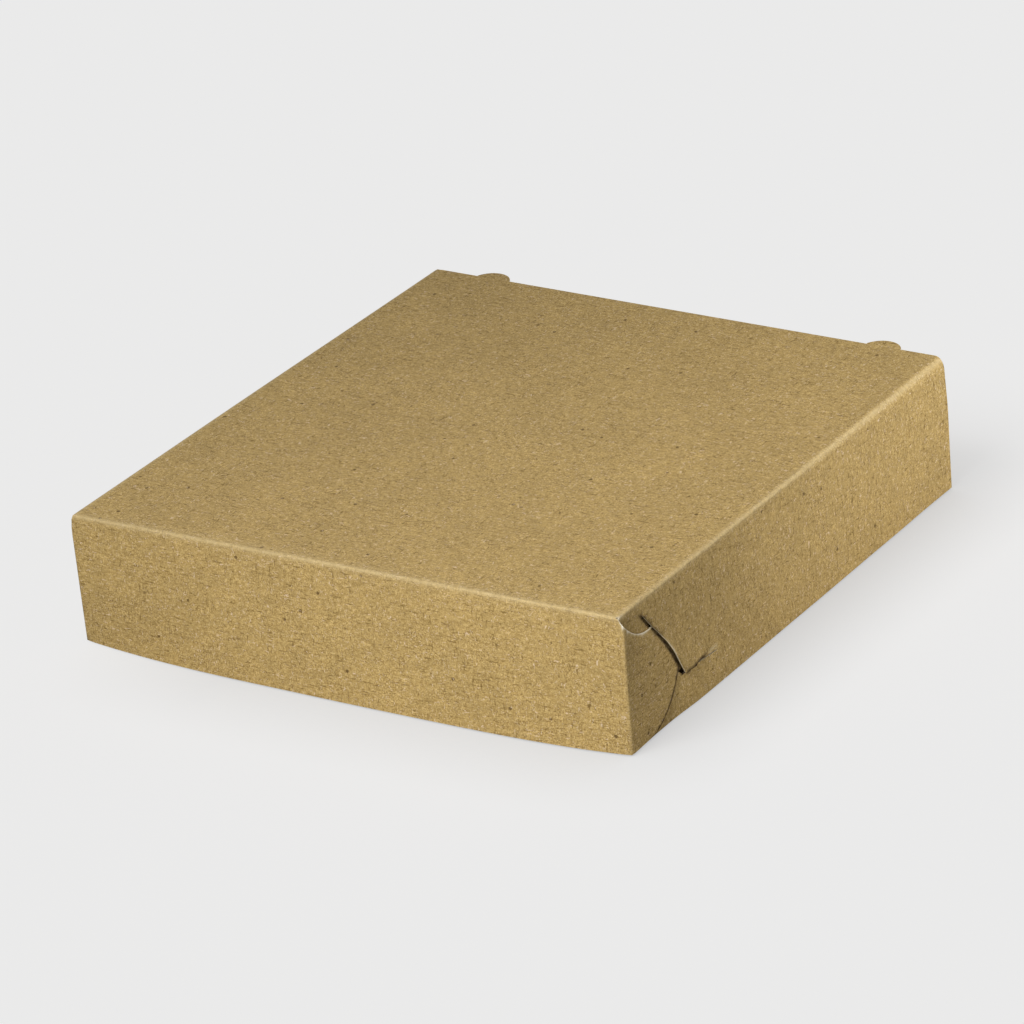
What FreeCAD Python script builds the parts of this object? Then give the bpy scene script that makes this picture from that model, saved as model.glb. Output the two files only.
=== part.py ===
import FreeCAD, Part
import math
import os

V = FreeCAD.Vector

# Pizza box folded from one sheet of kraft board, shut. The front edge is at -Y, the
# hinge crease at +Y, and the tray's underside at Z = 0. All sizes are in millimetres.

# Outer size of the shut box, from crease to crease
width = 250.0
depth = 250.0
height = 57.5

# The sheet
board = 0.5
crease_radius = 1.0
layer_gap = 0.15

# How the tray sits inside the lid
side_inset = 2.8
front_inset = 3.0
rim_gap = 0.8
lid_foot_gap = 0.5

# Hinge crease: how far each panel stops short of the crease line beside its own half thickness
hinge_relief = 0.35

# Half-round tabs that stay level with the lid panel when the back wall folds down
tab_width = 16.0
tab_reach = 4.8
tab_from_corner = 28.5
tab_clearance = 0.5

# Looseness of the lid's walls, which only the front corners hold
front_bow = 6.0
flat_stretch = 90.0
rear_crease_radius = 3.2

# Corner lock, measured back from the corner and down from the crease or up from the free edge
slit_start_back = 17.0
slit_start_down = 6.0
slit_tip_back = 43.3
slit_tip_up = 15.0
slit_leg = 23.7
slit_width = 0.4
ramp_length = 3.0
notch_on_front = 1.5
notch_at_corner = 4.0
notch_bend_back = 6.0
notch_bend_down = 9.4
notch_end_back = 19.5
notch_end_down = 12.1
ear_foot_back = 17.5
ear_foot_up = 0.8
ear_curve_back = 30.0
ear_curve_up = 8.6
ear_throat_back = 38.9
ear_throat_up = 18.0
ear_tip_inset = 0.7
hook_barb_back = 52.0
hook_barb_up = 8.0
hook_heel_back = 61.0
hook_heel_up = 12.0
hook_nose_back = 63.0
hook_nose_down = 28.0
hook_top_back = 48.0
hook_top_down = 16.0

# Values that follow from those above
side_x = width / 2
front_y = -depth / 2
back_y = depth / 2
lid_wall = height - lid_foot_gap
tray_side_x = side_x - side_inset
tray_front_y = front_y + front_inset
tray_wall = height - board - rim_gap
hinge_y = back_y - board / 2
hinge_z = height - board / 2
hinge_stop = board / 2 + hinge_relief
ear_out = layer_gap + board
reach = 2 * max(width, depth)


def line(a, b):
    return Part.LineSegment(a, b).toShape()


def arc(a, middle, b):
    return Part.Arc(a, middle, b).toShape()


def prism(edges, direction):
    """Solid made by moving the flat outline along a direction."""
    return Part.Face(Part.Wire(Part.__sortEdges__(edges))).extrude(direction)


def polygon_prism(points, direction):
    """Solid with straight edges made by moving the outline along a direction."""
    return Part.Face(Part.makePolygon(points + [points[0]])).extrude(direction)


def join(shapes):
    """One clean solid from pieces of the same sheet."""
    return shapes[0].fuse(shapes[1:]).removeSplitter()


def mirror_x(shape):
    return shape.mirror(V(0, 0, 0), V(1, 0, 0))


def mirror_y(shape):
    return shape.mirror(V(0, 0, 0), V(0, 1, 0))


def mirror_z(shape):
    return shape.mirror(V(0, 0, 0), V(0, 0, 1))


def quarter_bend(centre, first, second):
    """Edges of a quarter-round of sheet about a centre, from one direction to another."""
    diagonal = (first + second) * math.sqrt(0.5)
    outer = crease_radius
    inner = crease_radius - board
    return [
        arc(centre + first * outer, centre + diagonal * outer, centre + second * outer),
        line(centre + second * outer, centre + second * inner),
        arc(centre + second * inner, centre + diagonal * inner, centre + first * inner),
        line(centre + first * inner, centre + first * outer),
    ]


class Lock:
    """Front right corner lock of walls that hang from a crease at Z = 0.

    The front wall's ear goes round the corner outside the side wall, and its hook
    passes through the slit to the inside, behind the tongue that the slit frees.
    """

    def __init__(self, wall_x, wall_y, wall_height):
        self.wall_x = wall_x
        self.wall_y = wall_y
        self.wall_height = wall_height
        self.tip_down = wall_height - slit_tip_up
        along_back = slit_tip_back - slit_start_back
        along_down = self.tip_down - slit_start_down
        self.slit_length = math.hypot(along_back, along_down)
        self.along = V(0, along_back, -along_down).multiply(1 / self.slit_length)
        self.across = V(0, -self.along.z, self.along.y)

    def at(self, back, down, out=0.0):
        """Point on the side wall's outer face, or a little outside it."""
        return V(self.wall_x + out, self.wall_y + back, -down)

    def on_slit(self, along, across, out=0.0):
        """Point measured along the slanted leg of the slit and square to it."""
        start = self.at(slit_start_back, slit_start_down, out)
        return start + self.along * along + self.across * across

    def ear_outline(self):
        """Edges of the ear's flat outline, from the corner bend to the hook's nose."""
        low = self.wall_height
        notch_corner = self.at(0, notch_at_corner)
        notch_bend = self.at(notch_bend_back, notch_bend_down)
        notch_end = self.at(notch_end_back, notch_end_down)
        foot = self.at(ear_foot_back, low - ear_foot_up)
        curve = self.at(ear_curve_back, low - ear_curve_up)
        throat = self.at(ear_throat_back, low - ear_throat_up)
        tip = self.at(slit_tip_back - ear_tip_inset, self.tip_down - 2 * ear_tip_inset)
        barb = self.at(hook_barb_back, low - hook_barb_up)
        heel = self.at(hook_heel_back, low - hook_heel_up)
        nose = self.at(hook_nose_back, hook_nose_down)
        top = self.at(hook_top_back, hook_top_down)
        corner_foot = self.at(0, low)
        return [
            arc(notch_corner, notch_bend, notch_end),
            line(notch_end, top),
            line(top, nose),
            line(nose, heel),
            line(heel, barb),
            line(barb, tip),
            line(tip, throat),
            arc(throat, curve, foot),
            line(foot, corner_foot),
            line(corner_foot, notch_corner),
        ]

    def ear(self):
        """Flat ear, stepping inwards over the slanted leg of the slit."""
        over = self.slit_length
        outside = layer_gap
        inside = -2 * board - layer_gap
        points = [
            self.on_slit(-over, -over, outside),
            self.on_slit(-over, -ramp_length, outside),
            self.on_slit(-over, 0, inside),
            self.on_slit(-over, over, inside),
            self.on_slit(-over, over, inside + board),
            self.on_slit(-over, 0, inside + board),
            self.on_slit(-over, -ramp_length, outside + board),
            self.on_slit(-over, -over, outside + board),
        ]
        stepped = polygon_prism(points, self.along * (3 * over))
        outline = prism(self.ear_outline(), V(2 * reach, 0, 0))
        outline.translate(V(-reach, 0, 0))
        bend = Part.makeBox(reach, 2 * crease_radius, reach)
        bend.translate(self.at(-crease_radius, reach / 2, -reach / 2))
        return stepped.common(outline).cut(bend)

    def bend(self):
        """Upright bend that joins the front wall to the ear."""
        centre = self.at(crease_radius, self.wall_height, ear_out - crease_radius)
        quarter = prism(quarter_bend(centre, V(1, 0, 0), V(0, -1, 0)), V(0, 0, self.wall_height))
        return quarter.cut(self.notch())

    def notch(self):
        """Room above the ear's curved top edge, at the bend."""
        top = self.at(-crease_radius, -crease_radius, -reach / 2)
        corner = self.at(-crease_radius, notch_at_corner, -reach / 2)
        bend_start = self.at(0, notch_at_corner, -reach / 2)
        bend_middle = self.at(notch_bend_back, notch_bend_down, -reach / 2)
        bend_end = self.at(notch_end_back, notch_end_down, -reach / 2)
        top_end = self.at(notch_end_back, -crease_radius, -reach / 2)
        edges = [
            line(top, corner),
            line(corner, bend_start),
            arc(bend_start, bend_middle, bend_end),
            line(bend_end, top_end),
            line(top_end, top),
        ]
        return prism(edges, V(reach, 0, 0))

    def front_notch(self):
        """Slanted cut at the front wall's top corner, where the ear's top edge begins."""
        outer = self.wall_x + ear_out
        points = [
            V(self.wall_x - notch_on_front, self.wall_y - crease_radius, 0),
            V(outer, self.wall_y - crease_radius, -notch_at_corner),
            V(outer, self.wall_y - crease_radius, crease_radius),
            V(self.wall_x - notch_on_front, self.wall_y - crease_radius, crease_radius),
        ]
        return polygon_prism(points, V(0, 2 * crease_radius, 0))

    def slit(self):
        """Cut in the side wall: a slanted leg that the hook goes through, then a level leg."""
        half = slit_width / 2
        through = V(board + 2 * crease_radius, 0, 0)
        inner = -board - crease_radius
        narrow = [
            self.on_slit(0, -half, inner),
            self.on_slit(self.slit_length + half, -half, inner),
            self.on_slit(self.slit_length + half, half, inner),
            self.on_slit(0, half, inner),
        ]
        covered = (notch_end_down - slit_start_down) * self.slit_length / (self.tip_down - slit_start_down)
        wide = [
            self.on_slit(covered, -ramp_length, inner),
            self.on_slit(self.slit_length, -ramp_length, inner),
            self.on_slit(self.slit_length, half, inner),
            self.on_slit(covered, half, inner),
        ]
        level = [
            self.at(slit_tip_back - half, self.tip_down - half, inner),
            self.at(slit_tip_back + slit_leg, self.tip_down - half, inner),
            self.at(slit_tip_back + slit_leg, self.tip_down + half, inner),
            self.at(slit_tip_back - half, self.tip_down + half, inner),
        ]
        return [polygon_prism(points, through) for points in (narrow, wide, level)]


def channel_section(y, radius, wall_x, wall_height):
    """Closed outline of a panel with two side walls hanging from it, in a plane of constant Y."""
    panel_x = wall_x - radius
    slant = math.sqrt(0.5)

    def half(sign, inward):
        """Outline of one half, offset inwards by the sheet or not at all."""
        r = radius - inward
        foot = V(sign * (wall_x - inward), y, -wall_height)
        shoulder = V(sign * (wall_x - inward), y, -radius)
        bend = V(sign * (panel_x + r * slant), y, -radius + r * slant)
        top = V(sign * panel_x, y, -inward)
        return foot, top, [line(foot, shoulder), arc(shoulder, bend, top)]

    right_foot, right_top, right_outer = half(1, 0)
    left_foot, left_top, left_outer = half(-1, 0)
    right_inner_foot, right_inner_top, right_inner = half(1, board)
    left_inner_foot, left_inner_top, left_inner = half(-1, board)
    edges = right_outer + left_outer + right_inner + left_inner
    edges.append(line(right_top, left_top))
    edges.append(line(right_inner_top, left_inner_top))
    edges.append(line(left_foot, left_inner_foot))
    edges.append(line(right_foot, right_inner_foot))
    return Part.Wire(Part.__sortEdges__(edges))


def cross_crease(wall_x, wall_y):
    """Bend along X between the panel and its front wall."""
    half_length = wall_x - notch_on_front
    centre = V(-half_length, wall_y + crease_radius, -crease_radius)
    return prism(quarter_bend(centre, V(0, -1, 0), V(0, 0, 1)), V(2 * half_length, 0, 0))


def front_wall(wall_x, wall_y, wall_height, bow):
    """Wall hanging from the front crease, its free edge bowed outwards."""
    end = wall_x + ear_out - crease_radius
    top = -crease_radius
    low = -wall_height

    def section(z, push):
        """Outline of the wall at one level."""
        outer_start = V(-end, wall_y, z)
        outer_end = V(end, wall_y, z)
        inner_start = V(-end, wall_y + board, z)
        inner_end = V(end, wall_y + board, z)
        if push:
            outer = arc(outer_start, V(0, wall_y - push, z), outer_end)
            inner = arc(inner_end, V(0, wall_y + board - push, z), inner_start)
        else:
            outer = line(outer_start, outer_end)
            inner = line(inner_end, inner_start)
        return Part.Wire([outer, line(outer_end, inner_end), inner, line(inner_start, outer_start)])

    return Part.makeLoft([section(top, 0), section(low, bow)], True, True)


def half_round(x, half_width, sagitta):
    """Edges of a tab's outline on the plane Z = 0, from the crease line towards +Y."""
    left = V(x - half_width, 0, 0)
    right = V(x + half_width, 0, 0)
    top = V(x, sagitta, 0)
    return left, right, arc(left, top, right)


def lid_tabs():
    """Half-round tabs that project behind the hinge crease."""
    tabs = []
    root_y = hinge_y - hinge_stop - board
    for x in (-side_x + tab_from_corner, side_x - tab_from_corner):
        left, right, curve = half_round(x, tab_width / 2, tab_reach)
        root_left = V(left.x, root_y - back_y, 0)
        root_right = V(right.x, root_y - back_y, 0)
        edges = [curve, line(right, root_right), line(root_right, root_left), line(root_left, left)]
        tab = prism(edges, V(0, 0, board))
        tab.translate(V(0, back_y, -board))
        tabs.append(tab)
    return tabs


def tab_holes():
    """Holes that the tabs leave in the back wall, with room for them to swing through."""
    holes = []
    for x in (-side_x + tab_from_corner, side_x - tab_from_corner):
        half_width = tab_width / 2 + tab_clearance
        drop = tab_reach + 2 * tab_clearance
        left, right, curve = half_round(x, half_width, drop)
        hole = prism([curve, line(right, left)], V(0, 0, 4 * board))
        hole.rotate(V(0, 0, 0), V(1, 0, 0), -90)
        hole.translate(V(0, back_y - 3 * board, hinge_z))
        above = Part.makeBox(2 * half_width, 4 * board, 2 * board)
        above.translate(V(x - half_width, back_y - 3 * board, hinge_z - board / 2))
        holes += [hole, above]
    return holes


def make_lid():
    """Top panel with its front wall, side walls and ears, hanging from Z = 0, then lifted."""
    start_y = front_y + crease_radius
    flat_y = front_y + flat_stretch
    rear_y = hinge_y - hinge_stop
    front_section = channel_section(start_y, crease_radius, side_x, lid_wall)
    front_part = Part.Face(front_section).extrude(V(0, flat_y - start_y, 0))
    middle_section = channel_section(flat_y, crease_radius, side_x, lid_wall)
    rear_section = channel_section(rear_y, rear_crease_radius, side_x, lid_wall)
    rear_part = Part.makeLoft([middle_section, rear_section], True, True)
    lock = Lock(side_x, front_y, lid_wall)
    pieces = [front_part, rear_part]
    pieces += [cross_crease(side_x, front_y)]
    pieces += [front_wall(side_x, front_y, lid_wall, front_bow)]
    corner_pieces = [lock.bend(), lock.ear()]
    lid = join(pieces)
    cuts = lock.slit() + [lock.front_notch()]
    lid = lid.cut(cuts + [mirror_x(cut) for cut in cuts])
    lid = join([lid] + corner_pieces + [mirror_x(piece) for piece in corner_pieces] + lid_tabs())
    lid.translate(V(0, 0, height))
    return lid


def make_tray():
    """Bottom panel with its four walls and ears, built hanging from Z = 0, then turned over."""
    middle_y = (tray_front_y + back_y) / 2
    half_depth = (back_y - tray_front_y) / 2
    start_y = -half_depth + crease_radius
    section = channel_section(start_y, crease_radius, tray_side_x, tray_wall)
    tray = Part.Face(section).extrude(V(0, 2 * (half_depth - crease_radius), 0))
    crease = cross_crease(tray_side_x, -half_depth)
    low_wall = front_wall(tray_side_x, -half_depth, tray_wall, 0)
    high_wall = mirror_y(front_wall(tray_side_x, -half_depth, hinge_z - hinge_stop, 0))
    lock = Lock(tray_side_x, -half_depth, tray_wall)
    tray = join([tray, crease, mirror_y(crease), low_wall, high_wall])
    front_cuts = lock.slit() + [lock.front_notch()]
    front_cuts += [mirror_x(cut) for cut in front_cuts]
    tray = tray.cut(front_cuts + [mirror_y(cut) for cut in front_cuts])
    corners = [lock.bend(), lock.ear()]
    corners += [mirror_x(piece) for piece in corners]
    tray = join([tray] + corners + [mirror_y(piece) for piece in corners])
    tray = mirror_z(tray)
    tray.translate(V(0, middle_y, 0))
    return tray.cut(tab_holes())


os.makedirs("parts", exist_ok=True)
nodes = {"lid": make_lid(), "tray": make_tray()}
for name, shape in nodes.items():
    box = shape.BoundBox
    print(name, "solids", len(shape.Solids), "valid", shape.isValid(), "volume", round(shape.Volume, 1))
    print("  x", round(box.XMin, 2), round(box.XMax, 2), "y", round(box.YMin, 2), round(box.YMax, 2))
    print("  z", round(box.ZMin, 2), round(box.ZMax, 2), "faces", len(shape.Faces))
    shape.exportStep("parts/" + name + ".step")
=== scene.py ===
import math

import bpy
import numpy as np
from mathutils import Matrix, Vector, noise
from mathutils.geometry import delaunay_2d_cdt


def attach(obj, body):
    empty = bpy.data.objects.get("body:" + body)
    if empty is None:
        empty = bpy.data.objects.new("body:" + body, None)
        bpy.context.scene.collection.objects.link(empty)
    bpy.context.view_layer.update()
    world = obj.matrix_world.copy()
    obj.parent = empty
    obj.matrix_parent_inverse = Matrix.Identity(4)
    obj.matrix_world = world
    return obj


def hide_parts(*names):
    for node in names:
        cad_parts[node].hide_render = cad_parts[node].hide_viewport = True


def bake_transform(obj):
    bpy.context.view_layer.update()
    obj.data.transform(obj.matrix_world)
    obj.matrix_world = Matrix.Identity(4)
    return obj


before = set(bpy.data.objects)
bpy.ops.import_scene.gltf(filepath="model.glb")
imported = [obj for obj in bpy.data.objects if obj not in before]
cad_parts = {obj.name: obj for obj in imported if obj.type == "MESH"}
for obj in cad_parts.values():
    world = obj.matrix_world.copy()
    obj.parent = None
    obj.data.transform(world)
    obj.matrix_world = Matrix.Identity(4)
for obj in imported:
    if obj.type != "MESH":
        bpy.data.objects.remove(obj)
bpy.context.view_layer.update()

# Pizza box folded from one sheet of kraft board. The shapes are worked out in millimetres
# in the frame of the solids and go into the meshes in metres.
MM = 0.001

# Sizes of the solids
SIDE = 125.0
FRONT = -125.0
BACK = 125.0
HEIGHT = 57.5
BOARD = 0.5
LID_WALL = 57.0
TRAY_SIDE = 122.2
TRAY_FRONT = -122.0
TRAY_WALL = 56.2
BEND = 1.0
EAR_OUT = 0.65
HINGE_Y = 124.75
HINGE_Z = 57.25
# Lid and tray both stop short of the hinge axis
HINGE_STOP = 0.6
LID_BACK = HINGE_Y - HINGE_STOP
TRAY_TOP = HINGE_Z - HINGE_STOP

# How far the free edges of the lid's front wall and of its side walls stand out
FRONT_BOW = 6.0
WALL_FLARE = 0.9

# Corner locks: half the slit's width, the fall of its level leg, how far the tongue stands
# out and how deep the wall in front of the slit is pushed in
SLIT_HALF = 0.24
LEG_SLOPE = 0.02
TONGUE_LIFT = 1.5
PRESS_DEPTH = 1.05

# Meshes: least distance of inner points from the outlines, and how the inner face differs
RING_GAP = 0.22
INNER_SHIFT = (400.0, 300.0, 7.0)
INNER_WEAR_AND_SHADE = 0.35


def smooth(value):
    """0 to 1 with soft ends."""
    t = min(max(value, 0.0), 1.0)
    return t * t * (3 - 2 * t)


def mix(a, b, share):
    """Value that lies a share of the way from a to b."""
    return a + (b - a) * share


def through(value, table):
    """Straight-line value between the rows (place, value) of a table."""
    if value <= table[0][0]:
        return table[0][1]
    for (x0, y0), (x1, y1) in zip(table, table[1:]):
        if value <= x1:
            return y0 + (y1 - y0) * (value - x0) / (x1 - x0)
    return table[-1][1]


# Looseness of the whole box: how far each corner stands from the true block
CORNERS = {
    (-1, -1, 1): (-1.5, -2.3, -0.8),
    (1, -1, 1): (1.3, 1.8, 0.5),
    (1, 1, 1): (0.2, 0.0, 0.0),
    (-1, 1, 1): (2.9, 0.0, 0.0),
    (-1, -1, -1): (-3.0, -1.3, 0.0),
    (1, -1, -1): (2.0, 0.8, 0.0),
    (1, 1, -1): (-0.3, -2.3, 0.0),
    (-1, 1, -1): (0.6, -1.2, 0.0),
}


def loosen(points):
    """Moves points with the eight corners of the box."""
    p = np.array(points, float)
    share = np.stack([p[:, 0] / SIDE, p[:, 1] / SIDE, 2 * p[:, 2] / HEIGHT - 1], 1)
    share = share.clip(-1.05, 1.05)
    moved = p.copy()
    for corner, offset in CORNERS.items():
        weight = np.prod((1 + share * np.array(corner)) / 2, axis=1)
        moved += weight[:, None] * np.array(offset)
    return moved


def ripple(u, v, size, seed):
    """Slow unevenness of the board between -1 and 1."""
    return noise.noise(Vector((u / size, v / size, seed)))


def fold(s, flat_side, hang_side):
    """Rounded bend: distance s across the fold line to (place along the panel, drop)."""
    if s <= -flat_side:
        return s, 0.0
    if s >= hang_side:
        return 0.0, s
    angle = (s + flat_side) / (flat_side + hang_side) * math.pi / 2
    return -flat_side * (1 - math.sin(angle)), hang_side * (1 - math.cos(angle))


def arc_points(a, middle, b, step=1.0):
    """Points on the arc through three points, ends included."""
    (ax, ay), (mx, my), (bx, by) = a, middle, b
    d = 2 * (ax * (my - by) + mx * (by - ay) + bx * (ay - my))
    a2, m2, b2 = ax * ax + ay * ay, mx * mx + my * my, bx * bx + by * by
    cx = (a2 * (my - by) + m2 * (by - ay) + b2 * (ay - my)) / d
    cy = (a2 * (bx - mx) + m2 * (ax - bx) + b2 * (mx - ax)) / d
    radius = math.hypot(ax - cx, ay - cy)
    start = math.atan2(ay - cy, ax - cx)
    turn = (math.atan2(by - cy, bx - cx) - start) % (2 * math.pi)
    mid_turn = (math.atan2(my - cy, mx - cx) - start) % (2 * math.pi)
    if mid_turn > turn:
        turn -= 2 * math.pi
    count = max(2, int(abs(turn) * radius / step))
    angles = [start + turn * i / count for i in range(count + 1)]
    return [(cx + radius * math.cos(angle), cy + radius * math.sin(angle)) for angle in angles]


def dense(points, step, closed=True):
    """The outline with points added along its long edges."""
    made = []
    ends = points[1:] + points[:1] if closed else points[1:]
    for a, b in zip(points, ends):
        count = max(1, round(math.dist(a, b) / step))
        for i in range(count):
            made.append((mix(a[0], b[0], i / count), mix(a[1], b[1], i / count)))
    if not closed:
        made.append(points[-1])
    return made


class Lock:
    """Corner lock in (back, down) millimetres: a slit in the side wall and the ear that goes through it."""

    def __init__(self, wall, smile, lean):
        self.wall = wall
        self.smile = smile
        self.lean = lean
        self.start = (17.2, 6.6)
        self.tip = (40.7, wall - 14.9)
        self.end = (65.2, wall - 13.7)
        along = (self.tip[0] - self.start[0], self.tip[1] - self.start[1])
        self.length = math.hypot(*along)
        self.along = (along[0] / self.length, along[1] / self.length)
        self.across = (self.along[1], -self.along[0])

    def on_slit(self, back, down):
        """Distance along the slanted leg and across it, towards the tongue."""
        b, d = back - self.start[0], down - self.start[1]
        return (
            b * self.along[0] + d * self.along[1],
            b * self.across[0] + d * self.across[1],
        )

    def press(self, back, down):
        """How deep the wall in front of the slit is pushed in."""
        deep = PRESS_DEPTH * smooth(down / 11) * (1 - 0.7 * smooth((down - 14) / 26))
        deep *= 1 - smooth((down - self.tip[1]) / 9)
        return deep * (1 - smooth((back - self.tip[0]) / 24))

    def tongue(self, back, down):
        """How far the tongue stands out, most at its tip."""
        ex, ey = self.end[0] - self.start[0], self.end[1] - self.start[1]
        size = math.hypot(ex, ey)
        reach = abs((self.tip[0] - self.start[0]) * ey - (self.tip[1] - self.start[1]) * ex) / size
        here = -((back - self.start[0]) * ey - (down - self.start[1]) * ex) / size
        share = here / reach
        return TONGUE_LIFT * smooth(share / 0.75) * (1 - 0.2 * smooth((share - 0.7) / 0.3))

    def bulge(self, back, down):
        """Shift of the board beside the slanted leg, which bows out towards the tongue."""
        along, across = self.on_slit(back, down)
        push = through(along / self.length, SLIT_BOW) * smooth(1 - abs(across) / 10)
        return push * self.across[0], push * self.across[1]

    def wall_out(self, back, down):
        """Outward offset of the side wall's outer face."""
        along, across = self.on_slit(back, down)
        if across > 0 and down < self.tip[1] + LEG_SLOPE * (back - self.tip[0]) and along > -2:
            return self.tongue(back, down)
        if across > 0 and down < self.start[1] + 2:
            return 0.0
        if down >= self.tip[1] - 0.01 or across <= 0:
            return -self.press(back, down)
        return 0.0

    def slit_back(self, down):
        """Where the slanted leg is at a level."""
        return mix(self.start[0], self.tip[0], (down - self.start[1]) / (self.tip[1] - self.start[1]))

    def ear_out(self, back, down):
        """Outward offset of the ear's outer face."""
        start = through(down, self.lean)
        edge = self.slit_back(down)
        near = min(edge, self.tip[0] - 3)
        lie = BOARD + 0.06 - self.press(near, down)
        if back <= edge:
            return mix(start, lie, min(max(back, 0) / near, 1))
        _, across = self.on_slit(back, down)
        inner = -0.72 - self.press(back, down)
        return mix(lie, inner, smooth(across / mix(6, 1.3, smooth((down - 28) / 12))))

    def ear_outline(self):
        """Outline of the ear from the front wall's top corner to its foot."""
        w = self.wall
        hook = [self.smile[-1], (48.0, 18.0), (63.0, 28.0), (61.0, w - 12), (51.0, w - 9)]
        hook += [(self.tip[0] + 2.6, w - 16.4), (self.tip[0] - 0.8, w - 17.2)]
        curve = self.rear_edge()
        foot = dense([(17.5, w - 0.6), (0.0, w)], 2.0, False)
        return self.smile + dense(hook, 2.0, False)[1:] + curve + foot[1:]

    def rear_edge(self):
        """Curved edge from the slit down to the ear's foot."""
        w = self.wall
        return arc_points((self.tip[0] - 3.6, w - 17.6), (30.6, w - 8.6), (17.5, w - 0.6))

    def slit_hole(self):
        """Narrow outline of the slit, with the small opening at the tongue's tip."""
        half, clip = SLIT_HALF, 0.6
        (sx, sy), (tx, ty), (ex, ey) = self.start, self.tip, self.end
        (lx, ly), (ax, ay) = self.along, self.across
        down_leg = [(sx - ax * half + lx * clip, sy - ay * half + ly * clip)]
        down_leg += [(tx - 3.6, ty - 4.6), (tx - 3.8, ty - 3.0), (tx - 2.6, ty - 1.5), (tx - 0.9, ty - 0.5)]
        low = [(tx, ty + half), (ex - clip, ey + half)]
        up = [(ex, ey), (ex - clip, ey - half), (tx + 1.0, ty - half * 0.9)]
        up += [(tx + ax * half, ty - half * 2.2), (sx + ax * half + lx * clip, sy + ay * half + ly * clip)]
        return dense([self.start] + down_leg + low + up, 1.0)


def inside(points, polygon):
    """Which points lie in a closed polygon."""
    x, y = points[:, 0], points[:, 1]
    found = np.zeros(len(points), bool)
    for (x0, y0), (x1, y1) in zip(polygon, polygon[1:] + polygon[:1]):
        if y0 == y1:
            continue
        crosses = (y0 > y) != (y1 > y)
        at = x0 + (y - y0) * (x1 - x0) / (y1 - y0)
        found ^= crosses & (x < at)
    return found


def edge_distance(points, polygon):
    """Distance from each point to the nearest edge of the polygon."""
    best = np.full(len(points), 1e9)
    for a, b in zip(polygon, polygon[1:] + polygon[:1]):
        a, b = np.array(a), np.array(b)
        ab = b - a
        t = (((points - a) @ ab) / max(ab @ ab, 1e-12)).clip(0, 1)
        best = np.minimum(best, np.linalg.norm(points - a - t[:, None] * ab, axis=1))
    return best


def triangulate(outline, holes, inner):
    """Flat triangle mesh of the outline without its holes, through the inner points."""
    rings = [outline] + holes
    pts = np.array(inner)
    keep = inside(pts[:, :2], outline)
    for hole in holes:
        keep &= ~inside(pts[:, :2], hole)
    for ring in rings:
        keep &= edge_distance(pts[:, :2], ring) > np.maximum(RING_GAP, 0.4 * pts[:, 2])
    pts = pts[keep, :2]
    coords, edges = [], []
    for ring in rings:
        first = len(coords)
        coords += [Vector(p) for p in ring]
        count = len(ring)
        edges += [(first + i, first + (i + 1) % count) for i in range(count)]
    coords += [Vector(p) for p in pts]
    verts, _, faces, _, _, _ = delaunay_2d_cdt(coords, edges, [], 0, 1e-4)
    verts = np.array([(v.x, v.y) for v in verts])
    faces = np.array([f for f in faces if len(f) == 3])
    middles = verts[faces].mean(1)
    keep = inside(middles, outline)
    for hole in holes:
        keep &= ~inside(middles, hole)
    faces = faces[keep]
    a, b, c = verts[faces[:, 0]], verts[faces[:, 1]], verts[faces[:, 2]]
    area = (b[:, 0] - a[:, 0]) * (c[:, 1] - a[:, 1]) - (b[:, 1] - a[:, 1]) * (c[:, 0] - a[:, 0])
    faces[area < 0] = faces[area < 0][:, ::-1]
    used = np.unique(faces)
    renumber = np.full(len(verts), -1)
    renumber[used] = np.arange(len(used))
    return verts[used], renumber[faces]


def grid(us, vs, spacing):
    """Rows of inner points with the spacing they stand at."""
    return [(u, v, spacing) for u in us for v in vs]


def steps(low, high, step):
    """Evenly spaced values from low to high."""
    count = max(1, round((high - low) / step))
    return [mix(low, high, i / count) for i in range(count + 1)]


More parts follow.
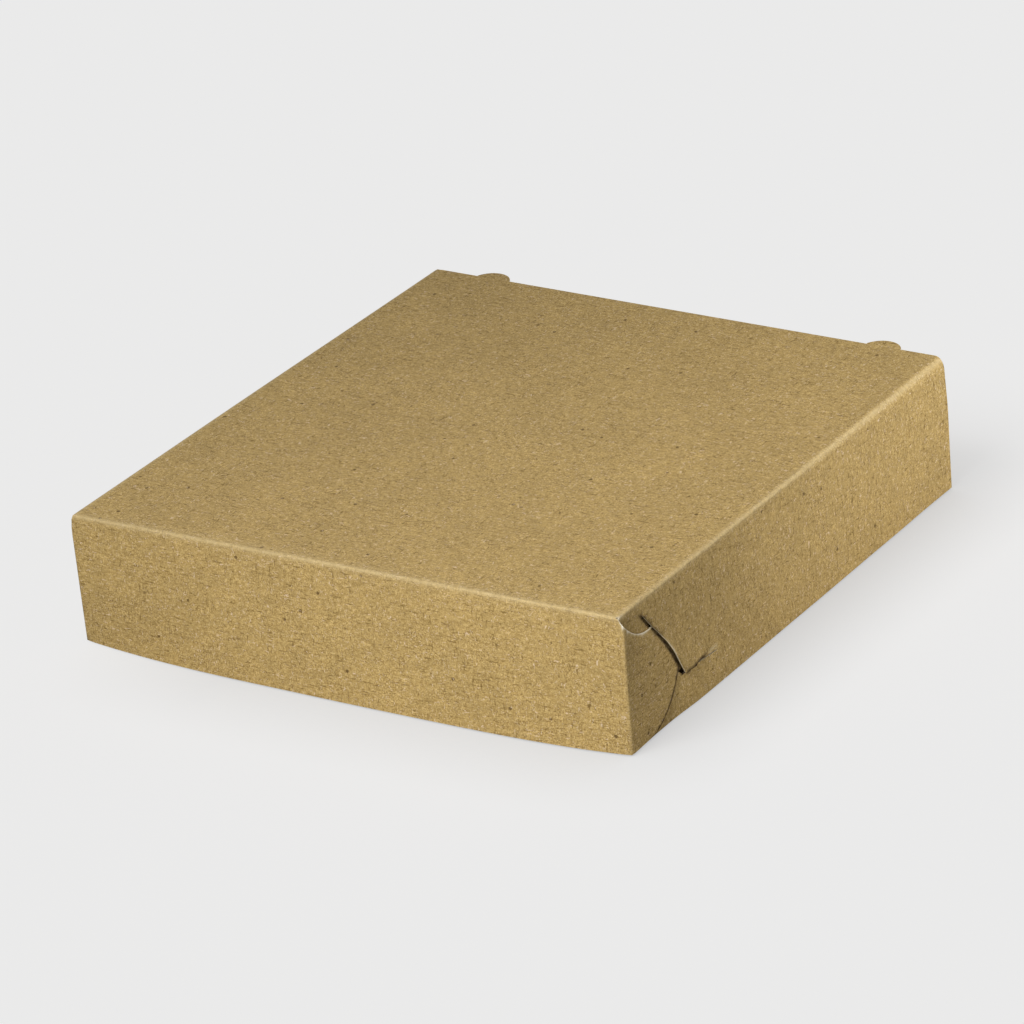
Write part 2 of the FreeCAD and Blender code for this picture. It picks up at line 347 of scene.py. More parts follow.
def board_object(name, flat, faces, outer, wear_and_shade_values, turn=False, normals=None):
    """Sheet of board as a closed mesh: the outer face, the inner face and the cut edge between them."""
    outer = np.array(outer)
    if turn:
        faces = faces[:, ::-1]
    if normals is None:
        a, b, c = outer[faces[:, 0]], outer[faces[:, 1]], outer[faces[:, 2]]
        face_normals = np.cross(b - a, c - a)
        normals = np.zeros_like(outer)
        for k in range(3):
            np.add.at(normals, faces[:, k], face_normals)
        normals /= np.linalg.norm(normals, axis=1)[:, None]
    inner = outer - np.array(normals) * BOARD
    count = len(outer)
    sides = np.concatenate([faces[:, [0, 1]], faces[:, [1, 2]], faces[:, [2, 0]]])
    known = {tuple(e) for e in sides}
    rim = sorted((i, j) for i, j in known if (j, i) not in known)
    polygons = [tuple(f) for f in faces]
    polygons += [(f[2] + count, f[1] + count, f[0] + count) for f in faces]
    polygons += [(j, i, i + count, j + count) for i, j in rim]
    mesh = bpy.data.meshes.new(name)
    points = (np.concatenate([outer, inner]) * MM).tolist()
    mesh.from_pydata(points, [], [tuple(map(int, p)) for p in polygons])
    for material in BOARD_MATERIALS:
        mesh.materials.append(material)
    slots = np.zeros(len(polygons), np.int32)
    slots[2 * len(faces):] = 1
    mesh.polygons.foreach_set("material_index", slots)
    mesh.polygons.foreach_set("use_smooth", np.ones(len(polygons), bool))
    rims = {frozenset(e) for e in rim} | {frozenset((i + count, j + count)) for i, j in rim}
    ends = np.empty(len(mesh.edges) * 2, np.int32)
    mesh.edges.foreach_get("vertices", ends)
    sharp = [frozenset(e) in rims for e in ends.reshape(-1, 2).tolist()]
    mesh.edges.foreach_set("use_edge_sharp", sharp)
    place = mesh.attributes.new("sheet_place", "FLOAT_VECTOR", "POINT")
    flat3 = np.concatenate([flat, np.zeros((count, 1))], 1)
    back3 = flat3 + np.array(INNER_SHIFT)
    place.data.foreach_set("vector", (np.concatenate([flat3, back3]) * MM).ravel())
    # point value with the folds' wear, the pale cut edges and the locks' painted shade; the inner face gets
    # a share of it
    wear_and_shade = mesh.attributes.new("wear_and_painted_shade", "FLOAT", "POINT")
    wear_and_shade_values = np.array(wear_and_shade_values, float)
    wear_and_shade.data.foreach_set("value", np.concatenate([wear_and_shade_values, wear_and_shade_values * INNER_WEAR_AND_SHADE]))
    mesh.validate()
    mesh.update()
    piece = bpy.data.objects.new(name, mesh)
    bpy.context.collection.objects.link(piece)
    box_pieces.objects.link(piece)
    return piece


# Nodes

class Nodes:
    """Small helper that adds and links nodes."""

    def __init__(self, name):
        self.material = bpy.data.materials.new(name)
        self.material.use_nodes = True
        self.tree = self.material.node_tree
        self.tree.nodes.clear()

    def add(self, kind, links=None, **settings):
        """Adds a node; links holds a socket to link or a plain value for each of its inputs."""
        node = self.tree.nodes.new("ShaderNode" + kind)
        for key, value in settings.items():
            setattr(node, key, value)
        for socket, value in (links or {}).items():
            if isinstance(value, bpy.types.NodeSocket):
                self.tree.links.new(value, node.inputs[socket])
            else:
                node.inputs[socket].default_value = value
        return node

    def ramp(self, source, rows):
        """Colour for a value, from rows of (place, colour)."""
        node = self.add("ValToRGB", {0: source})
        elements = node.color_ramp.elements
        while len(elements) < len(rows):
            elements.new(0.5)
        for element, (place, colour) in zip(elements, rows):
            element.position = place
            element.color = (*colour, 1)
        return node.outputs["Color"]

    def blend(self, mode, share, a, b):
        """Mix of two colours; 0, 6 and 7 are the node's inputs for the share and the colours."""
        node = self.add("Mix", data_type="RGBA", blend_type=mode)
        for index, value in ((0, share), (6, a), (7, b)):
            if isinstance(value, bpy.types.NodeSocket):
                self.tree.links.new(value, node.inputs[index])
            else:
                node.inputs[index].default_value = value if index == 0 else (*value, 1)
        return node.outputs[2]

    def maths(self, kind, a, b):
        return self.add("Math", {0: a, 1: b}, operation=kind).outputs[0]

    def noise(self, place, scale, detail, rough, distortion=0.0):
        inputs = {"Vector": place, "Scale": scale, "Detail": detail, "Roughness": rough}
        return self.add("TexNoise", {**inputs, "Distortion": distortion}).outputs["Fac"]


def grey(value):
    return (value, value, value)


# Camera and stage

# Two collections, so that a lamp can light the box alone or the floor alone
box_pieces = bpy.data.collections.new("box_pieces")
floor_pieces = bpy.data.collections.new("floor_pieces")

IMAGE_PX = 1024
FOCAL_PX = 6525.6
SENSOR = 36.0
FLOOR_HALF = 12.0
FLOOR_GREY = (0.74, 0.74, 0.745, 1)
WORLD_WHITE = (1.0, 0.96, 0.89, 1)
CONTACT_SHADOW = 0.34
SEEN_SHARE = 0.69


def make_camera():
    """Camera at the photograph's angle."""
    right = Vector((0.832594, 0.545005, -0.098778))
    down = Vector((0.163479, -0.412194, -0.89631))
    ahead = Vector((-0.529209, 0.730114, -0.432287))
    data = bpy.data.cameras.new("camera")
    data.sensor_width = SENSOR
    data.lens = FOCAL_PX / IMAGE_PX * SENSOR
    data.clip_start = 0.05
    data.clip_end = 20.0
    camera = bpy.data.objects.new("camera", data)
    turn = Matrix((right, -down, -ahead)).transposed()
    camera.matrix_world = Matrix.Translation((1.37645, -1.90695, 1.150525)) @ turn.to_4x4()
    bpy.context.collection.objects.link(camera)
    bpy.context.scene.camera = camera


def aim(name, data, place, target, lit):
    """Lamp that looks at the target and lights one group of objects."""
    lamp = bpy.data.objects.new(name, data)
    lamp.location = place
    lamp.rotation_euler = (Vector(target) - Vector(place)).to_track_quat("-Z", "Y").to_euler()
    bpy.context.collection.objects.link(lamp)
    lamp.light_linking.receiver_collection = lit


def area_light(name, place, target, size, power):
    """Square soft lamp for the box."""
    data = bpy.data.lights.new(name, "AREA")
    data.shape = "SQUARE"
    data.size = size
    data.energy = power
    aim(name, data, place, target, box_pieces)


def side_light(name, place, target, angle, power, radius):
    """Soft-edged spot for the box, so that its light falls off along the side wall."""
    data = bpy.data.lights.new(name, "SPOT")
    data.spot_size = math.radians(angle)
    data.spot_blend = 0.75
    data.shadow_soft_size = radius
    data.energy = power
    aim(name, data, place, target, box_pieces)


def floor_sun(name, place, angle, power):
    """Wide sun for the floor, which makes the box's shadow."""
    data = bpy.data.lights.new(name, "SUN")
    data.angle = math.radians(angle)
    data.energy = power
    aim(name, data, place, (0, 0, 0), floor_pieces)


def make_world(strength):
    """Even light from all round."""
    world = bpy.data.worlds.new("world")
    bpy.context.scene.world = world
    world.use_nodes = True
    back = world.node_tree.nodes["Background"]
    back.inputs["Color"].default_value = WORLD_WHITE
    back.inputs["Strength"].default_value = strength


def make_floor():
    """Plain pale floor that keeps a light shadow of the box."""
    mesh = bpy.data.meshes.new("floor")
    far = FLOOR_HALF
    mesh.from_pydata([(-far, -far, 0), (far, -far, 0), (far, far, 0), (-far, far, 0)], [], [(0, 1, 2, 3)])
    floor = bpy.data.objects.new("floor", mesh)
    floor.location = (0, 0, -0.0002)
    bpy.context.collection.objects.link(floor)
    floor_pieces.objects.link(floor)
    n = Nodes("floor")
    lit = n.add("BsdfDiffuse", {"Color": FLOOR_GREY})
    # contact shadow in front of the box and to its right, faded out on the left
    near = n.add("AmbientOcclusion", {"Distance": 0.05}, samples=16)
    place = n.add("NewGeometry").outputs["Position"]
    across = n.add("SeparateXYZ", {0: place}).outputs["X"]
    fade = n.add("MapRange", {"Value": across, "From Min": -0.14, "From Max": -0.06})
    dark = n.add("MapRange", {"Value": near.outputs["AO"], "To Min": CONTACT_SHADOW, "To Max": 0.0})
    light = n.maths("SUBTRACT", 1.0, n.maths("MULTIPLY", dark.outputs[0], fade.outputs[0]))
    # the camera sees mostly an even white, so that the background stays as pale as the photo's
    seen = n.add("Emission", {"Color": (1.0, 1.0, 1.0, 1), "Strength": light})
    share = n.maths("MULTIPLY", n.add("LightPath").outputs["Is Camera Ray"], SEEN_SHARE)
    both = n.add("MixShader", {0: share, 1: lit.outputs[0], 2: seen.outputs[0]})
    n.add("OutputMaterial", {0: both.outputs[0]})
    mesh.materials.append(n.material)


make_camera()
make_floor()
make_world(0.13)
area_light("key", (0.17, -0.52, 0.6), (0.06, -0.05, 0.03), size=0.3, power=5.05)
area_light("front", (0.19, -1.0, 0.2), (0.05, 0, 0.03), size=0.35, power=2.4)
area_light("back_fill", (-1.1, 1.0, 0.12), (0, 0, 0.03), size=0.5, power=9.0)
side_light("side", (0.75, 0.45, 0.35), (0.125, 0.11, 0.03), angle=29.2, power=26.5, radius=0.1)
floor_sun("sky", (-0.3, -1.0, 1.1), angle=40, power=1.97)
bpy.context.scene.view_settings.view_transform = "Standard"


# Materials

FACE = (0.428, 0.299, 0.109)
CUT_EDGE = (0.80, 0.70, 0.50)
SPECK = (0.10, 0.055, 0.016)
RUBBED = (0.60, 0.48, 0.27)
PALE_CUT = (0.90, 0.83, 0.66)
# painted shade for the dark lines in and beside the corner locks' slits
PAINTED_GAP_SHADE = (0.05, 0.026, 0.008)
DARK_FIBRE = (0.15, 0.090, 0.022)
# Fibre flecks: place in the noise, its scale, where the fleck starts and is full, and its colour
FLECKS = (
    (0.0, (240.0, 1500.0, 1.0), 0.61, 0.665, DARK_FIBRE),
    (3.1, (1300.0, 260.0, 1.0), 0.63, 0.685, DARK_FIBRE),
    (6.7, (520.0, 900.0, 1.0), 0.645, 0.71, (0.22, 0.135, 0.045)),
    (9.3, (520.0, 1300.0, 1.0), 0.64, 0.71, (0.68, 0.52, 0.36)),
    (12.9, (1200.0, 520.0, 1.0), 0.65, 0.72, (0.68, 0.54, 0.38)),
)


def kraft(name, base):
    """Recycled kraft board: pulp, grain, specks, fibres, flecks, rubbed folds, pale cut edges and painted
    shade in the corner locks' gaps.
    """
    n = Nodes(name)
    place = n.add("Attribute", attribute_name="sheet_place").outputs["Vector"]
    # point value: wear on folds from 0 to 1, pale cut edges above 1, painted shade below 0
    wear_and_painted_shade = n.add("Attribute", attribute_name="wear_and_painted_shade").outputs["Fac"]
    # cloudy pulp at two sizes
    cloud = n.noise(place, 22.0, 4.0, 0.6)
    colour = n.blend("MULTIPLY", 1.0, base, n.ramp(cloud, [(0.3, grey(0.93)), (0.7, grey(1.06))]))
    patch = n.noise(place, 160.0, 5.0, 0.65)
    colour = n.blend("MULTIPLY", 1.0, colour, n.ramp(patch, [(0.3, grey(0.90)), (0.72, grey(1.09))]))
    # fine grain, stronger in some patches than in others
    fine = n.noise(place, 1500.0, 3.0, 0.75)
    grain = n.ramp(fine, [(0.30, (0.36, 0.29, 0.17)), (0.5, grey(1.0)), (0.72, (1.52, 1.58, 1.80))])
    strength = n.ramp(n.noise(place, 70.0, 4.0, 0.65), [(0.35, grey(0.45)), (0.62, grey(1.0))])
    colour = n.blend("MULTIPLY", strength, colour, grain)
    speck = n.noise(place, 620.0, 2.0, 0.6)
    coarse = n.ramp(speck, [(0.30, (0.80, 0.76, 0.68)), (0.72, (1.17, 1.19, 1.26))])
    colour = n.blend("MULTIPLY", 1.0, colour, coarse)
    # dark specks, about one to a square centimetre
    cells = n.add("TexVoronoi", {"Vector": place, "Scale": 85.0}).outputs["Distance"]
    ragged = n.maths("ADD", cells, n.maths("MULTIPLY", fine, 0.05))
    dot = n.ramp(ragged, [(0.075, grey(0.85)), (0.105, grey(0))])
    colour = n.blend("MIX", dot, colour, SPECK)
    # long fibres that run across the sheet
    long_way = n.add("Mapping", {"Vector": place, "Scale": (220.0, 900.0, 1.0)}).outputs[0]
    streak = n.noise(long_way, 1.0, 3.0, 0.6, 0.6)
    colour = n.blend("MULTIPLY", 1.0, colour, n.ramp(streak, [(0.32, grey(0.91)), (0.7, grey(1.08))]))
    # dark and pale fibre flecks
    for seed, scale, low, high, tint in FLECKS:
        shift = (seed, seed * 0.7, seed)
        moved = n.add("Mapping", {"Vector": place, "Location": shift, "Scale": scale}).outputs[0]
        fleck = n.noise(moved, 1.0, 2.0, 0.5, 1.2)
        mask = n.ramp(fleck, [(low, grey(0)), (high, grey(1))])
        colour = n.blend("MIX", n.maths("MULTIPLY", mask, 0.72), colour, tint)
    # rubbed creases, where the crease value is 0 to 1
    rub = n.ramp(n.noise(place, 420.0, 4.0, 0.7), [(0.25, grey(0.35)), (0.65, grey(1.0))])
    rubbed = n.maths("MULTIPLY", n.add("Clamp", {0: wear_and_painted_shade}).outputs[0], rub)
    colour = n.blend("MIX", n.maths("MULTIPLY", rubbed, 0.55), colour, RUBBED)
    # pale cut edges above 1; painted shade and painted shadow below 0, in the locks' slits, under the
    # tongues and beside the ears' rear edges
    pale = n.maths("MULTIPLY", n.maths("SUBTRACT", wear_and_painted_shade, 1.0), 0.8)
    colour = n.blend("MIX", n.add("Clamp", {0: pale}).outputs[0], colour, PALE_CUT)
    shade = n.add("Clamp", {0: n.maths("MULTIPLY", wear_and_painted_shade, -0.75)}).outputs[0]
    colour = n.blend("MIX", shade, colour, PAINTED_GAP_SHADE)
    roughness = n.ramp(patch, [(0.3, grey(0.82)), (0.7, grey(0.93))])
    shader = n.add("BsdfPrincipled", {"Base Color": colour, "Roughness": roughness})
    shader.inputs["Specular IOR Level"].default_value = 0.25
    relief = n.maths("ADD", n.maths("MULTIPLY", fine, 0.7), n.maths("MULTIPLY", patch, 0.6))
    bump = n.add("Bump", {"Height": relief, "Strength": 0.35, "Distance": 0.00012})
    n.tree.links.new(bump.outputs[0], shader.inputs["Normal"])
    n.add("OutputMaterial", {0: shader.outputs[0]})
    return n.material


BOARD_MATERIALS = (kraft("kraft_board_face", FACE), kraft("kraft_board_edge", CUT_EDGE))


# The lid

# Middles of the two tabs
TABS = (-94.9, 96.5)
TAB_HALF = 8.0
TAB_REACH = 4.8
# How far each ear stands out at its fold, by the distance down
RIGHT_LEAN = [(0, 1.2), (7.5, 2.2), (18, 1.8), (29, 1.35), (57, 0.62)]
LEFT_LEAN = [(0, 0.7), (7.5, 1.4), (21, 1.15), (33, 1.0), (57, 0.6)]
# How far the slanted leg bows towards the tongue, by the share of its length
SLIT_BOW = [(-0.2, 0.0), (0.0, -0.6), (0.23, 0.2), (0.34, 0.85)]
SLIT_BOW += [(0.51, 1.5), (0.67, 1.3), (0.82, 0.6), (1.0, 0.0)]
# Hollow edge of the ear below the box's top corner
SMILE = arc_points((0.0, 2.4), (9.0, 10.4), (25.6, 14.6))
LID_LOCKS = {1: Lock(LID_WALL, SMILE, RIGHT_LEAN), -1: Lock(LID_WALL, SMILE, LEFT_LEAN)}
EAR_LINE = SIDE + EAR_OUT
# How wide the side bends have opened at the back: along the panel and down the wall
REAR_BEND = {1: (3.6, 5.4), -1: (2.0, 2.6)}


def lid_outline():
    """Flat outline of the lid, hinge edge at the back, with its two tabs."""
    rim, start = SIDE + LID_WALL, FRONT + 1.0
    half = dense([(0.0, FRONT - LID_WALL), (EAR_LINE, FRONT - LID_WALL)], 4.0, False)[:-1]
    half += [(EAR_LINE + b, FRONT - d) for b, d in reversed(LID_LOCKS[1].ear_outline())]
    half += [(124.6, FRONT - 1.0), (124.5, FRONT), (124.5, start)]
    half += dense([(124.5, start), (rim, start)], 1.5, False)[1:]
    half += dense([(rim, start), (rim, LID_BACK)], 4.0, False)[1:]
    half += dense([(rim, LID_BACK), (SIDE - 6, LID_BACK)], 1.5, False)[1:]
    back = []
    for x in reversed(TABS):
        curve = arc_points((x + TAB_HALF, BACK), (x, BACK + TAB_REACH), (x - TAB_HALF, BACK), 0.8)
        back += [(x + TAB_HALF, LID_BACK)] + curve + [(x - TAB_HALF, LID_BACK)]
    back = dense([half[-1]] + back + [(-half[-1][0], LID_BACK)], 2.5, False)[1:-1]
    other = [(-u, v) for u, v in reversed(half)]
    return half + back + other[:-1]


def lid_inner():
    """Inner points of the lid's flat outline, close together at the bends."""
    across = [-8, -6, -4.6, -3.6, -2.8, -2.1, -1.5, -1.0, -0.6, -0.2]
    across += [0.2, 0.6, 1.0, 1.5, 2.2, 3, 4, 5, 6.2, 8]
    lock_back = FRONT + 72
    rows = steps(FRONT + 2, LID_BACK - 1.5, 4.0)
    behind = [v for v in rows if v > lock_back]
    close = steps(FRONT + 2, lock_back, 1.4)
    us = steps(-SIDE + 8, SIDE - 8, 4.5)[1:-1]
    wall = steps(SIDE + 8, SIDE + LID_WALL, 3.5)[1:-1]
    points = grid(us, rows, 4.0)
    for side in (1, -1):
        points += grid([side * (SIDE + a) for a in across], [FRONT + 1.7] + rows, 0.4)
        points += grid([side * u for u in wall], behind, 3.5)
        points += grid([side * u for u in steps(SIDE + 8, SIDE + 50, 1.4)], close, 1.4)
        points += grid([side * u for u in steps(SIDE + 50, SIDE + LID_WALL, 2.4)[1:-1]], close, 1.4)
    bend = [FRONT - a for a in (-1.5, -1.0, -0.6, -0.2, 0.2, 0.6, 1.0, 1.5)]
    points += grid(us + [s * (SIDE - a) for s in (1, -1) for a in (8, 5, 3, 1.7)], bend, 0.4)
    down = steps(FRONT - LID_WALL, FRONT - 2.5, 3.5)[1:]
    fold_us = [-2.4, -1.6, -1.0, -0.6, -0.2, 0.2, 0.6, 1.0, 1.6, 2.4]
    ear_rows = steps(FRONT - LID_WALL, FRONT - 2.5, 1.6)[1:]
    points += grid(us, down, 3.5)
    for side in (1, -1):
        points += grid([side * (EAR_LINE - a) for a in (8, 5.5, 3.8)], down, 2.0)
        points += grid([side * (EAR_LINE + a) for a in fold_us], down, 0.4)
        points += grid([side * (EAR_LINE + b) for b in steps(4, 64, 1.6)], ear_rows, 1.6)
    return points


def front_bow(x, share):
    """How far the front wall's free edge has swung out."""
    t = min(abs(x) / (SIDE + 1.5), 1.0)
    return FRONT_BOW * (1 - t ** 3.5) * share ** 1.1


def lid_panel_point(side, u, v, wave):
    """Folded place of a point of the panel or of a side wall, with u measured from the middle."""
    lock = LID_LOCKS[side]
    flat_bend, wall_bend = REAR_BEND[side]
    back, s = v - FRONT, u - SIDE
    loose = smooth((v + 35) / 160)
    along, drop = fold(s, mix(BEND, flat_bend, loose), mix(BEND, wall_bend, loose))
    x, y, z = SIDE + along, v, -drop
    if back < 1.0 and s < -1:
        ahead, lower = fold(-back, BEND, BEND)
        y, z = FRONT - ahead, -lower
    out = wave * smooth(drop / 12) * smooth(min(back, 40) / 40)
    if drop > 0.5:
        out += lock.wall_out(back, drop)
        foot = smooth((back - 27) / 24) * smooth((drop - 40) / 17)
        out += WALL_FLARE * mix(foot, smooth(drop / 25), smooth((back - 40) / 70))
        shift, lift = lock.bulge(back, drop)
        y, z = y + shift, z - lift
    x += out
    if s < 0:
        inward = smooth((LID_BACK - 2 - v) / 30) * smooth((SIDE - u) / 25) * smooth(back / 20)
        z += (wave * 0.9 - 0.15) * inward
    return x, y, z + HEIGHT


def lid_front_point(side, u, v, wave):
    """Folded place of a point of the front wall or of an ear, with u measured from the middle."""
    lock = LID_LOCKS[side]
    down = FRONT - v
    past, drop = fold(u - EAR_LINE, BEND, BEND)
    ahead, lower = fold(down, BEND, BEND)
    share = min(max((down - BEND) / (LID_WALL - BEND), 0.0), 1.0)
    bow = front_bow(min(u, SIDE), share)
    lean = through(down, lock.lean)
    x = EAR_LINE + past + (lean - EAR_OUT) * smooth((u - SIDE + 14) / 14)
    if drop > 0:
        y = FRONT - bow + drop
        if drop > 0.4:
            x += lock.ear_out(drop, down) - lean
        shift, lift = lock.bulge(drop, down)
        y, lower = y + shift, lower + lift
    else:
        y = FRONT - ahead - bow + wave * 0.8 * share * smooth((SIDE - u) / 20)
    return x, y, HEIGHT - lower


def lid_point(u, v):
    """Folded place of a point of the lid's flat outline, with Z measured up from the floor."""
    side = 1 if u >= 0 else -1
    wave = ripple(u, v, 60, 2.0) * 0.35 + ripple(u, v, 24, 5.0) * 0.12
    on_panel = v > FRONT - 0.001 or abs(u) < SIDE - 1.3 and v > FRONT - 1.0
    place = lid_panel_point if on_panel else lid_front_point
    x, y, z = place(side, abs(u), v, wave)
    return side * x, y, z


def lid_wear_and_shade(u, v):
    """Look of a point: 1 on a fold, 0 in a panel, a pale spot at each top front corner, and on_cut's pale
    cut edges and painted shade beside the locks.
    """
    past_side, ahead = abs(u) - SIDE, FRONT - v
    near = abs(past_side) / 1.7 if v > FRONT else abs(abs(u) - EAR_LINE) / 0.9
    if past_side < 0:
        near = min(near, -ahead / 1.7 if v > FRONT else ahead / 1.5)
    wear_and_shade = math.exp(-near * near)
    if ahead > 4 and past_side > -2:
        wear_and_shade *= 0.2
    corner = math.hypot(past_side - 1.3, -ahead - 0.9) / 1.2
    return wear_and_shade + 1.4 * math.exp(-corner * corner) + on_cut(u, v)


def on_cut(u, v):
    """Look beside the corner locks: pale cut edges above 0, painted shade and painted shadow below 0."""
    lock = LID_LOCKS[1]
    tip, level = lock.tip
    if v < FRONT:
        b, d = abs(u) - EAR_LINE, FRONT - v
        if min(math.dist((b, d), p) for p in lock.smile) < 0.3:
            return 2.0
        # painted shadow line along the ear's rear edge
        if min(math.dist((b, d), p) for p in lock.rear_edge()) < 0.4:
            return -1.6
        along, across = lock.on_slit(b, d)
        # painted shade on the ear beside the slit
        return -1.5 * math.exp(-(across / 0.8) ** 2) if 2 < along < lock.length - 3 else 0.0
    b, d = v - FRONT, abs(u) - SIDE
    along, across = lock.on_slit(b, d)
    # tongue's cut edge: painted shade in its upper part, pale cut edge lower down
    if 0 < across < 0.4 and 0 < along < lock.length + 0.5:
        return mix(-1.0, 1.6, smooth((along / lock.length - 0.3) / 0.3))
    # painted shade on the wall beside the slit
    if -0.4 < across < 0 and 0 < along < lock.length:
        return -1.2
    if level - 0.6 < d < level + 0.5 and tip - 1 < b < lock.end[0] + 0.3:
        # level leg: painted shadow along the tongue's lower edge
        if d > level + LEG_SLOPE * (b - tip):
            return -1.8 * (1 - smooth((b - tip - 13) / 6))
        # pale cut edge at the level leg's far end, painted shade near the tip
        return 2.5 * smooth((b - tip - 14) / 7) - 1.3 * smooth((b - tip) / 2)
    return 0.0


def make_lid():
    """The lid's part of the sheet, in place of the lid's solid."""
    holes = []
    for side in (1, -1):
        holes.append([(side * (SIDE + d), FRONT + b) for b, d in LID_LOCKS[side].slit_hole()])
    flat, faces = triangulate(lid_outline(), holes, lid_inner())
    outer = loosen([lid_point(u, v) for u, v in flat])
    wear_and_shade_values = [lid_wear_and_shade(u, v) for u, v in flat]
    lid = board_object("lid_sheet", flat, faces, outer, wear_and_shade_values)
    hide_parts("lid")
    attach(lid, "lid")


# The tray

TRAY_MIDDLE = (TRAY_FRONT + BACK) / 2
TRAY_HALF = (BACK - TRAY_FRONT) / 2
TRAY_EAR = TRAY_SIDE + EAR_OUT
# Notches that the tabs leave in the back wall
HOLE_HALF = 8.35
HOLE_DEEP = 5.2
# The tray's locks stand out less than the lid's, and its walls lean in
TRAY_SHARE = 0.75
TRAY_LEAN = 0.35
TRAY_LOCK = Lock(TRAY_WALL, SMILE, [(0, EAR_OUT), (57, EAR_OUT)])


def tray_outline():
    """Flat outline of the tray, with the notches of the two tabs in its back wall."""
    rim, start = TRAY_SIDE + TRAY_WALL, TRAY_HALF - 1.0
    corner = dense([(rim, 0.0), (rim, start)], 4.0, False)
    corner += dense([(rim, start), (TRAY_SIDE - 0.5, start)], 1.5, False)[1:]
    corner += [(TRAY_SIDE - 0.5, TRAY_HALF), (TRAY_SIDE - 0.4, TRAY_HALF + 1.0)]
    corner += [(TRAY_EAR + b, TRAY_HALF + d) for b, d in TRAY_LOCK.ear_outline()]
    front = [(u, TRAY_MIDDLE - w) for u, w in corner]
    front += dense([front[-1], (-front[-1][0], front[-1][1])], 4.0, False)[1:-1]
    front += [(-u, TRAY_MIDDLE - w) for u, w in reversed(corner)]
    rear = [(-u, TRAY_MIDDLE + w) for u, w in corner[1:]]
    top = BACK + TRAY_TOP
    edge = [(-TRAY_EAR + 1, top)]
    for x in TABS:
        edge += arc_points((x - HOLE_HALF, top), (x, top - HOLE_DEEP), (x + HOLE_HALF, top), 0.8)
    edge += [(TRAY_EAR - 1, top)]
    rear += dense(edge, 2.5, False)
    rear += [(u, TRAY_MIDDLE + w) for u, w in reversed(corner[1:])]
    return (front + rear)[::-1]


def tray_inner():
    """Inner points of the tray's flat outline."""
    bends = [-3, -1.5, -1.0, -0.5, 0.0, 0.5, 1.0, 1.5, 3]
    ws = steps(0, TRAY_HALF - 4, 7.0)
    us = steps(-TRAY_SIDE + 4, TRAY_SIDE - 4, 7.0)
    wall = steps(4, TRAY_WALL, 4.0)[:-1]
    close, lock_down, ear_back = steps(2, 70, 2.2), steps(4, 54, 2.2), steps(5, 62, 2.2)
    points = []
    for end in (1, -1):
        rows = [(u, w, 5.0) for u in us for w in ws]
        rows += [(u, TRAY_HALF + b, 0.5) for u in us + [TRAY_SIDE - 2.5, 2.5 - TRAY_SIDE] for b in bends]
        rows += [(u, TRAY_HALF + d, 4.0) for u in us for d in wall]
        for side in (1, -1):
            rows += [(side * (TRAY_SIDE + b), w, 0.5) for b in bends for w in ws + [TRAY_HALF - 1.7]]
            rows += [(side * (TRAY_SIDE + d), w, 4.0) for d in wall for w in ws if w < TRAY_HALF - 70]
            rows += [(side * (TRAY_SIDE + d), TRAY_HALF - b, 2.2) for d in lock_down for b in close]
            rows += [(side * (TRAY_EAR + b), TRAY_HALF + d, 0.5) for b in bends for d in wall]
            rows += [(side * (TRAY_EAR + b), TRAY_HALF + d, 2.2) for b in ear_back for d in lock_down]
        points += [(u, TRAY_MIDDLE + end * w, gap) for u, w, gap in rows]
    return points


def tray_point(u, v):
    """Folded place of a point of the tray's flat outline."""
    side = 1 if u >= 0 else -1
    end = 1 if v >= TRAY_MIDDLE else -1
    w = abs(v - TRAY_MIDDLE)
    wave = ripple(u, v, 55, 9.0) * 0.3
    if w <= TRAY_HALF - 0.999 or abs(u) < TRAY_SIDE - 0.45 and w < TRAY_HALF + 0.999:
        back = TRAY_HALF - w
        along, drop = fold(abs(u) - TRAY_SIDE, BEND, BEND)
        ahead, lower = fold(-back, BEND, BEND)
        x = TRAY_SIDE + along
        if drop > 0.5:
            x += TRAY_LOCK.wall_out(back, drop) * TRAY_SHARE
            x -= TRAY_LEAN * smooth(back / 40) * smooth(drop / 30) * (1 + wave)
        z = lower if back < BEND and drop == 0 else drop
        y = w if back >= BEND or drop > 0 else TRAY_HALF + ahead
        return side * x, TRAY_MIDDLE + end * y, z
    down = w - TRAY_HALF
    past, drop = fold(abs(u) - TRAY_EAR, BEND, BEND)
    _, lower = fold(down, BEND, BEND)
    x = TRAY_EAR + past
    if drop > 0.4:
        out = TRAY_LOCK.ear_out(drop, down)
        x += (out - EAR_OUT) * (TRAY_SHARE if out > -0.6 else 1.0)
    return side * x, TRAY_MIDDLE + end * (TRAY_HALF - drop), lower


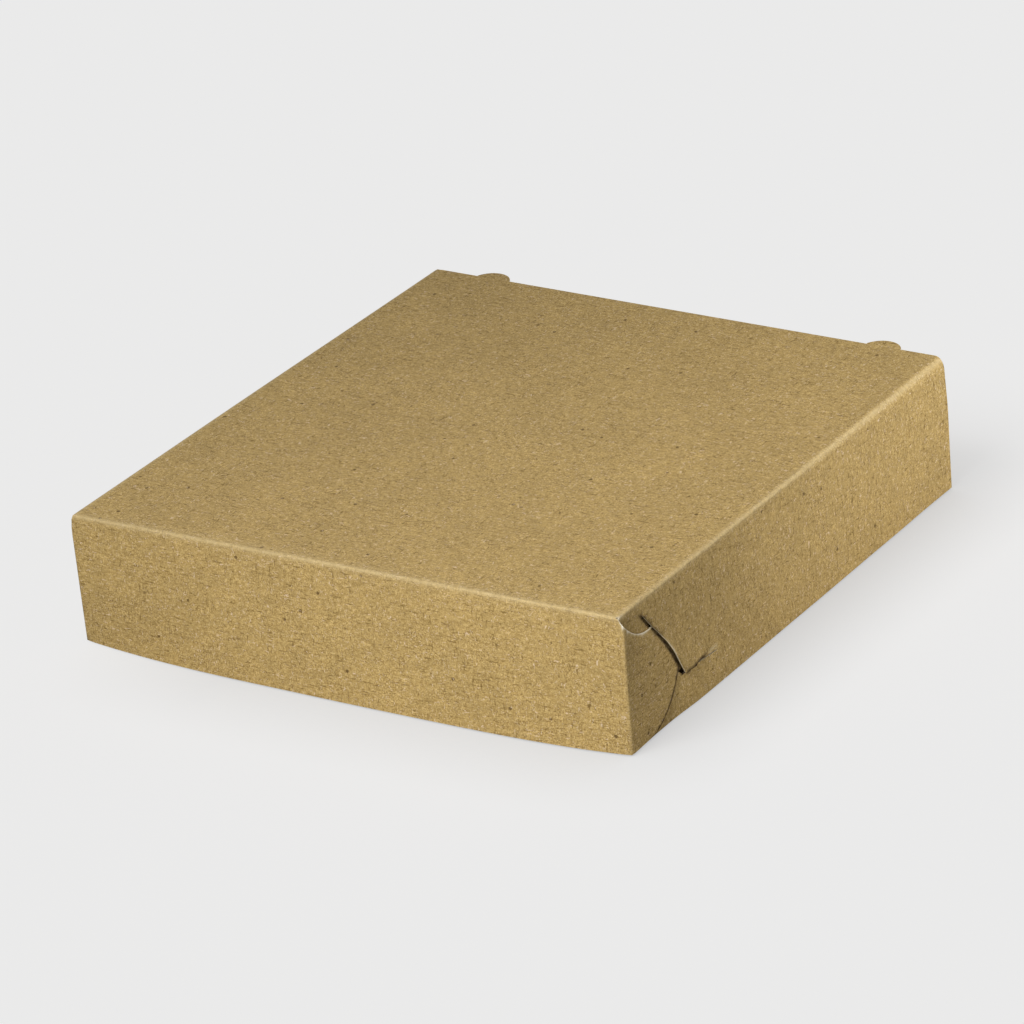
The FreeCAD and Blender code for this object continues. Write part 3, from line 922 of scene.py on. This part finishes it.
def tray_crease(u, v):
    """How rubbed the tray's board is: 1 on a fold, 0 in a panel."""
    near = abs(abs(u) - TRAY_SIDE) / 1.5
    if abs(u) < TRAY_SIDE:
        near = min(near, abs(abs(v - TRAY_MIDDLE) - TRAY_HALF) / 1.5)
    return math.exp(-near * near)


def make_tray():
    """The tray's part of the sheet, in place of the tray's solid."""
    slit = TRAY_LOCK.slit_hole()
    holes = []
    for side in (1, -1):
        for end in (1, -1):
            holes.append([(side * (TRAY_SIDE + d), TRAY_MIDDLE + end * (TRAY_HALF - b)) for b, d in slit])
    flat, faces = triangulate(tray_outline(), holes, tray_inner())
    outer = loosen([tray_point(u, v) for u, v in flat])
    wear_and_shade_values = [tray_crease(u, v) for u, v in flat]
    tray = board_object("tray_sheet", flat, faces, outer, wear_and_shade_values, turn=True)
    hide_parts("tray")
    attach(tray, "tray")


# The hinge crease

CREASE_END = 121.4
CREASE_STEPS = 10
CREASE_RUB = 0.55


def make_hinge_crease():
    """Bend that joins the tray's back wall to the lid beside and between the tabs."""
    ends = [-CREASE_END]
    for x in TABS:
        ends += [x - HOLE_HALF, x + HOLE_HALF]
    ends.append(CREASE_END)
    flat, outer, normals, faces = [], [], [], []
    radius, count = BACK - LID_BACK, CREASE_STEPS
    for x0, x1 in zip(ends[::2], ends[1::2]):
        xs = steps(x0, x1, 3.0)
        first = len(flat)
        for x in xs:
            for i in range(count + 1):
                angle = i / count * math.pi / 2
                up, out = math.sin(angle), math.cos(angle)
                normals.append((0.0, out, up))
                outer.append((x, LID_BACK + radius * out, TRAY_TOP + radius * up))
                flat.append((x, LID_BACK + radius * (1 - i / count) * 1.5))
        for j in range(len(xs) - 1):
            for i in range(count):
                a = first + j * (count + 1) + i
                b = a + count + 1
                faces += [(a, b, b + 1), (a, b + 1, a + 1)]
    faces = np.array(faces)[:, ::-1]
    wear_and_shade_values = [CREASE_RUB] * len(flat)
    strip = board_object("hinge_crease", np.array(flat), faces, loosen(outer), wear_and_shade_values, normals=normals)
    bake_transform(strip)


make_lid()
make_tray()
make_hinge_crease()
